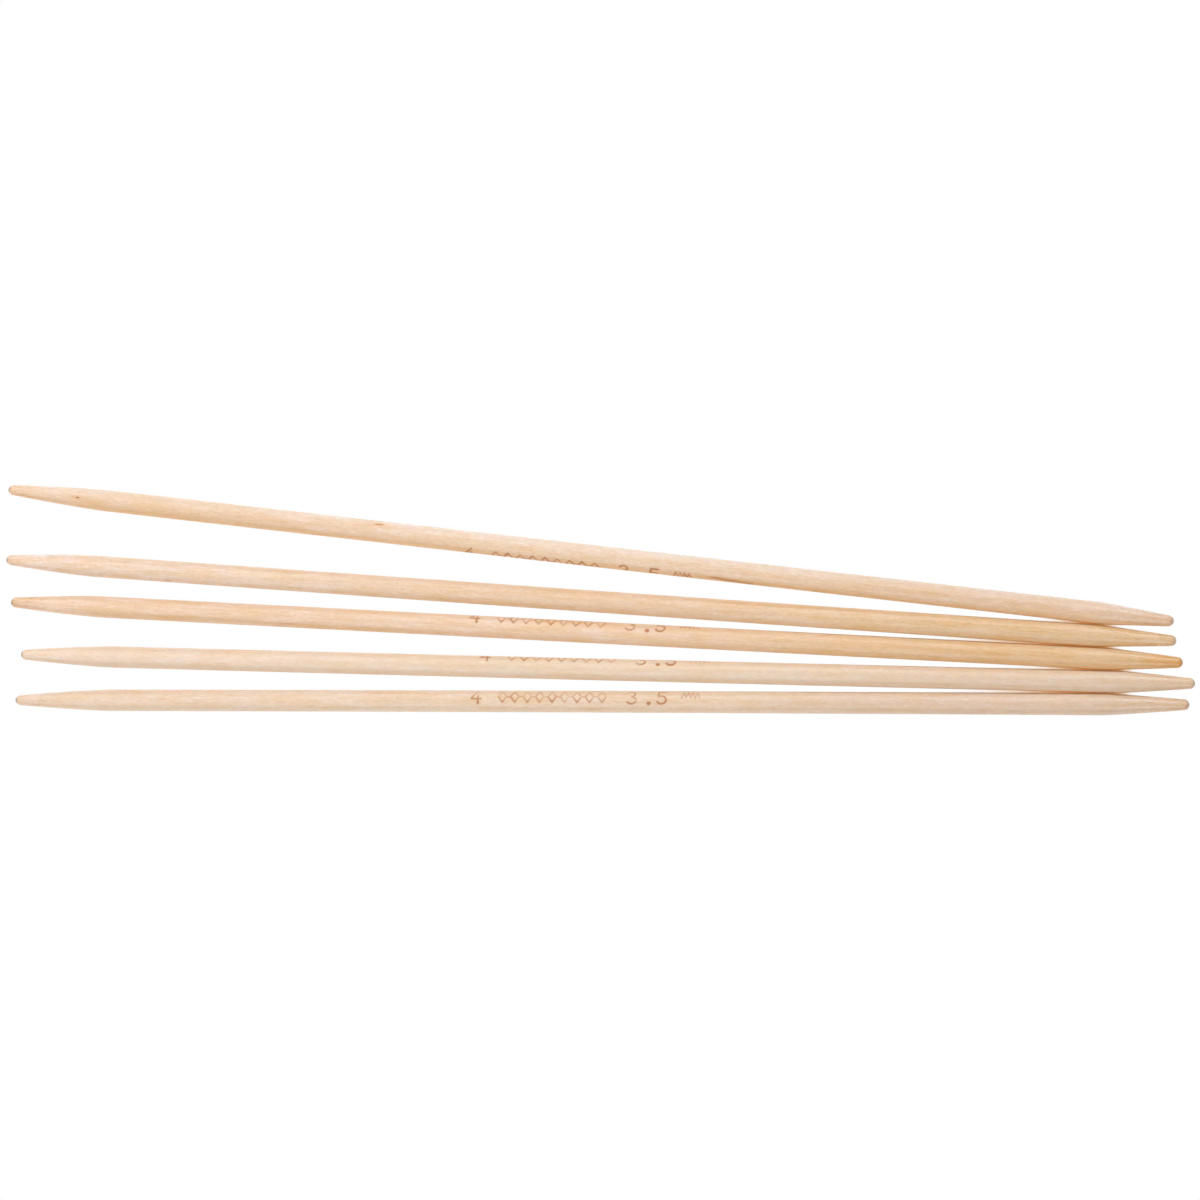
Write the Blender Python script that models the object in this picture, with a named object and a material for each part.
"""A fan of five double-pointed wooden knitting needles.

Each needle is one turned dowel: a blunt rounded nose, a slender taper, a
round shaft, and the same again at the other end.  The five lie on one flat
surface (Z = 0), spread like a fan at their -X ends and side by side, almost
touching, where the shafts run out into the +X tapers.

Units are metres, +Z is up, +X runs along the needles.  The origin is the
middle of the footprint of the whole set, on the surface it lies on.
"""

import math
from collections import namedtuple

import bmesh
import bpy

# ---------------------------------------------------------------- dimensions
LENGTH = 0.1905            # tip to tip
DIAMETER = 0.0035          # gauge of the shaft
HALF_LENGTH = LENGTH / 2
SHAFT_RADIUS = DIAMETER / 2
NOSE_FULLNESS = 2.0        # exponent of the rounding: 2 is an ellipse, more is blunter

# How an end is turned: the radius that the taper would reach at the very tip,
# the length of the rounded nose, and how softly the taper runs out into the
# shaft (an exponent: 1 is a straight cone, more runs out softer).
End = namedtuple("End", "tip_radius nose_length ease")
MINUS_X_END = End(tip_radius=0.00077, nose_length=0.00092, ease=1.37)
PLUS_X_END = End(tip_radius=0.00080, nose_length=0.00078, ease=1.10)

# Mesh resolution
SIDES = 24                 # facets round the needle, one of them flat on the ground
NOSE_RINGS = 5
TAPER_RINGS = 9
SHAFT_RINGS = 8
MERGE_DISTANCE = 1e-6      # closes each tip to a single point
SHARP_ANGLE = 40           # degrees; steeper edges are shaded sharp

# How each needle lies: the middle of its axis (x, y), its heading in degrees,
# its sideways bow at mid length, and the length of the taper at each end.
Needle = namedtuple("Needle", "x y heading bow minus_x_taper plus_x_taper")
NEEDLES = {
    "needle_1": Needle(-0.00360, 0.00741, -6.505, -0.00002, 0.0168, 0.0114),
    "needle_2": Needle(-0.00360, 0.00009, -3.935, -0.00014, 0.0150, 0.0128),
    "needle_3": Needle(-0.00270, -0.00512, -2.863, -0.00002, 0.0155, 0.0119),
    "needle_4": Needle(-0.00090, -0.01107, -1.250, -0.00010, 0.0158, 0.0117),
    "needle_5": Needle(-0.00180, -0.01650, 0.005, 0.00012, 0.0164, 0.0132),
}

# Birch, from pinkish pale to warm tan: base colour and roughness.
Wood = namedtuple("Wood", "colour roughness")
WOODS = {
    "needle_1": Wood(colour=(0.72, 0.50, 0.31), roughness=0.46),
    "needle_2": Wood(colour=(0.69, 0.44, 0.23), roughness=0.44),
    "needle_3": Wood(colour=(0.68, 0.43, 0.22), roughness=0.45),
    "needle_4": Wood(colour=(0.74, 0.52, 0.32), roughness=0.47),
    "needle_5": Wood(colour=(0.76, 0.54, 0.33), roughness=0.48),
}


# ------------------------------------------------------------------- profile
def radius_at(distance, taper, end):
    """Radius of the turned needle at a distance from one tip."""
    along_taper = min(distance / taper, 1.0)
    swell = 1 - (1 - along_taper) ** end.ease
    body = end.tip_radius + (SHAFT_RADIUS - end.tip_radius) * swell
    along_nose = min(distance / end.nose_length, 1.0)
    rounding = (1 - (1 - along_nose) ** NOSE_FULLNESS) ** (1 / NOSE_FULLNESS)
    return body * rounding


def end_outline(taper, end):
    """Points (distance from the tip, radius) over one nose and taper, tip first."""
    # Cosine spacing crowds the rings towards the tip, where the nose curves most.
    nose = [
        end.nose_length * (1 - math.cos(math.pi / 2 * i / NOSE_RINGS))
        for i in range(NOSE_RINGS + 1)
    ]
    rest = [
        end.nose_length + (taper - end.nose_length) * (i / TAPER_RINGS)
        for i in range(1, TAPER_RINGS + 1)
    ]
    return [(distance, radius_at(distance, taper, end)) for distance in nose + rest]


def needle_outline(needle):
    """The half outline (x, radius) from the -X tip to the +X tip."""
    minus_x = [
        (-HALF_LENGTH + distance, radius)
        for distance, radius in end_outline(needle.minus_x_taper, MINUS_X_END)
    ]
    plus_x = [
        (HALF_LENGTH - distance, radius)
        for distance, radius in end_outline(needle.plus_x_taper, PLUS_X_END)
    ]
    shaft_start = minus_x[-1][0]
    shaft_end = plus_x[-1][0]
    shaft = [
        (shaft_start + (shaft_end - shaft_start) * i / SHAFT_RINGS, SHAFT_RADIUS)
        for i in range(1, SHAFT_RINGS)
    ]
    return minus_x + shaft + plus_x[::-1]


# --------------------------------------------------------------------- pieces
def birch_material(name):
    wood = WOODS[name]
    rgba = (*wood.colour, 1.0)
    material = bpy.data.materials.new(name + "_birch")
    material.use_nodes = True
    inputs = material.node_tree.nodes["Principled BSDF"].inputs
    inputs["Base Color"].default_value = rgba
    inputs["Roughness"].default_value = wood.roughness
    inputs["Metallic"].default_value = 0.0
    material.diffuse_color = rgba
    return material


def needle_mesh(name, needle):
    """Spin the half outline about X, then bow the stick sideways."""
    # The flats of the section touch the true cylinder, so the corners stand
    # out a little, and half a step of turn puts one flat straight down.
    half_step = math.pi / SIDES
    corner_scale = 1 / math.cos(half_step)
    shape = bmesh.new()
    outline = [
        shape.verts.new((
            x,
            radius * corner_scale * math.sin(half_step),
            -radius * corner_scale * math.cos(half_step),
        ))
        for x, radius in needle_outline(needle)
    ]
    edges = [shape.edges.new(pair) for pair in zip(outline, outline[1:])]
    bmesh.ops.spin(
        shape,
        geom=outline + edges,
        cent=(0, 0, 0),
        axis=(1, 0, 0),
        angle=2 * math.pi,
        steps=SIDES,
        use_merge=True,
    )
    bmesh.ops.remove_doubles(shape, verts=shape.verts, dist=MERGE_DISTANCE)
    bmesh.ops.recalc_face_normals(shape, faces=shape.faces)
    # The bow is a parabola: full at mid length, nothing at the tips.
    for vert in shape.verts:
        vert.co.y += needle.bow * (1 - (2 * vert.co.x / LENGTH) ** 2)

    mesh = bpy.data.meshes.new(name)
    shape.to_mesh(mesh)
    shape.free()
    mesh.shade_smooth()
    mesh.set_sharp_from_angle(angle=math.radians(SHARP_ANGLE))
    return mesh


def add_object(name, data=None):
    """Link a new object to the scene; without data it is an empty."""
    added = bpy.data.objects.new(name, data)
    bpy.context.scene.collection.objects.link(added)
    return added


def add_needle(name, needle, parent):
    mesh = needle_mesh(name, needle)
    mesh.materials.append(birch_material(name))
    added = add_object(name, mesh)
    added.parent = parent
    added.location = (needle.x, needle.y, SHAFT_RADIUS)
    added.rotation_euler = (0, 0, math.radians(needle.heading))


def centre_footprint(parent):
    """Move the set so that the middle of its footprint is at the world origin."""
    bpy.context.view_layer.update()
    points = [
        child.matrix_world @ vert.co
        for child in parent.children
        for vert in child.data.vertices
    ]
    xs = [point.x for point in points]
    ys = [point.y for point in points]
    parent.location = (-(min(xs) + max(xs)) / 2, -(min(ys) + max(ys)) / 2, 0.0)
    bpy.context.view_layer.update()


# ---------------------------------------------------------------------- build
for old in list(bpy.data.objects):
    bpy.data.objects.remove(old, do_unlink=True)

needle_set = add_object("needle_set")
for name, needle in NEEDLES.items():
    add_needle(name, needle, needle_set)
centre_footprint(needle_set)
